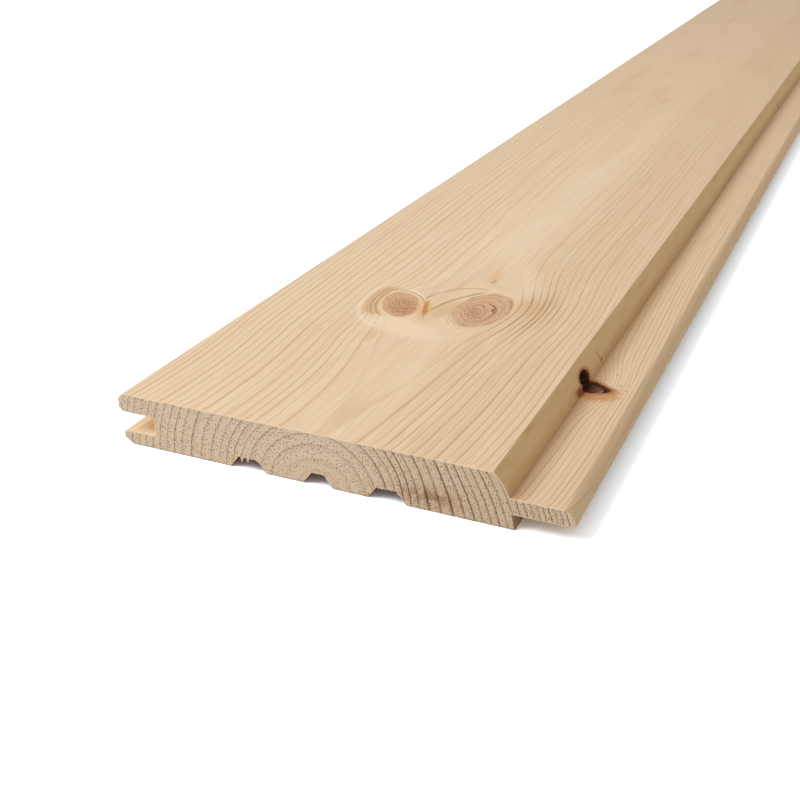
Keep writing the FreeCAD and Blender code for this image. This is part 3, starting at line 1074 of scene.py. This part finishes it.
# %% [markdown]
# The hole is black with dry, paler streaks of soot. On the shelf the plug is brown with a
# pale ring in it, and the rim is dark red.
# %% Colour of the dead knot
dry = cloud(flat_place, (0.6, 1.5, 1))
soot = coats(tint(50, 26, 18), (rise(dry, 0.0, 0.25) * 0.5, 128, 92, 74))
plug_brown = coats(tint(84, 44, 24), (rise(out, 0.5, 4.5), 146, 96, 64))
on_shelf = rise(flat_way, -0.8, 0.6)
pale_ring = hill(dead_gap, 0.64, 0.025) * rise(out, 1.0, 3.5)
dead_colour = coats(
    blend(rise(dead_gap, 0.62, 0.5) * on_shelf, soot, plug_brown),
    (pale_ring * 0.85, 206, 172, 150),
    (rise(dead_gap, 0.80, 1.0) * 0.9, 116, 50, 22))
print("with the dead knot's colour it takes", len(nodes), "nodes")

# %% [markdown]
# Orange resin has crept along the shelf and, darker red, down the crease. A few small
# dark marks lie near by, and two further off on the rounded edge.
# %% Resin and marks round the dead knot
resin_gap = flat_oval((3.6, 61.0), (6.4, 5.4)) + flat_fray * 0.9
resin = rise(resin_gap, 1.2, 0.6) * (late_line * 0.3 + 0.7)
red_lobe = rise(flat_oval((-0.6, 58.3), (1.5, 3.6), radians(-8)) + flat_fray * 0.9, 1.25, 0.4)
marks = [
    # way round, along, half width, half length, turn, weight
    (-1.0, 80.9, 0.45, 1.7, radians(20), 1.0),
    (-2.6, 80.3, 2.0, 0.4818, 0.0, 0.6),
    (-1.6, 454, 2.0, 2.724, 0.0, 0.6),
    (5.9, 74.5, 0.3, 0.8, 0.0, 0.6),
    (8.3, 67.8, 0.3, 0.8, 0.0, 0.6),
    (10.5, 68.8, 0.3, 0.8, 0.0, 0.6),
    (10.6, 65.4, 0.3, 0.8, 0.0, 0.6),
]
small_marks = 0.0
for mark_way, mark_along, half_width, half_length, turn, weight in marks:
    mark_gap = flat_oval((mark_way, mark_along), (half_width, half_length), turn)
    mark = rise(mark_gap + flat_fray * 0.5, 1.2, 0.4) * weight
    small_marks = calc("MAXIMUM", small_marks, mark)
wood_colour = coats(
    wood_colour,
    (resin, 198, 134, 72),
    (rise(dead_gap, 1.6, 1.0) * 0.75, 160, 88, 40),
    (red_lobe * 0.8, 122, 62, 22),
    (small_marks * 0.7, 112, 74, 40))
wood_colour = blend(rise(dead_gap, 1.08, 0.96), wood_colour, dead_colour)
print(len(marks), "small marks;", len(nodes), "nodes")

# %% [markdown]
# Planed softwood is matt with a faint sheen along the fibres. The relief is small: late
# wood stands a hair proud, fibres leave fine furrows, pores and saw marks pit the end.
# %% Surface and finish
relief = late_wood * 0.07 + fibre * 0.03 + in_knot * knot_rings * 0.04 - crescents * 0.05
end_relief = end_grit * 0.07 + end_patch * 0.05 - pores * 0.05 + late_wood * 0.03
bump = nodes.new("ShaderNodeBump")
bump.inputs["Distance"].default_value = MM
bump.inputs["Strength"].default_value = 1.0
plug_in(relief + (end_relief - relief) * sawn, bump.inputs["Height"])
finish = nodes.new("ShaderNodeBsdfPrincipled")
plug_in(wood_colour, finish.inputs["Base Color"])
plug_in(0.62 - late_wood * 0.08 + sawn * 0.2, finish.inputs["Roughness"])
finish.inputs["Specular IOR Level"].default_value = 0.12
links.new(bump.outputs[0], finish.inputs["Normal"])
wood_out = nodes.new("ShaderNodeOutputMaterial")
links.new(finish.outputs[0], wood_out.inputs["Surface"])
board_mesh.materials.append(wood)
print("the wood has", len(nodes), "nodes")

# %% [markdown]
# The skin takes the place of the CAD solid and rides on the board's one body.
# %% Hand the skin to the frame
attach(board, "root")
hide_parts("board")
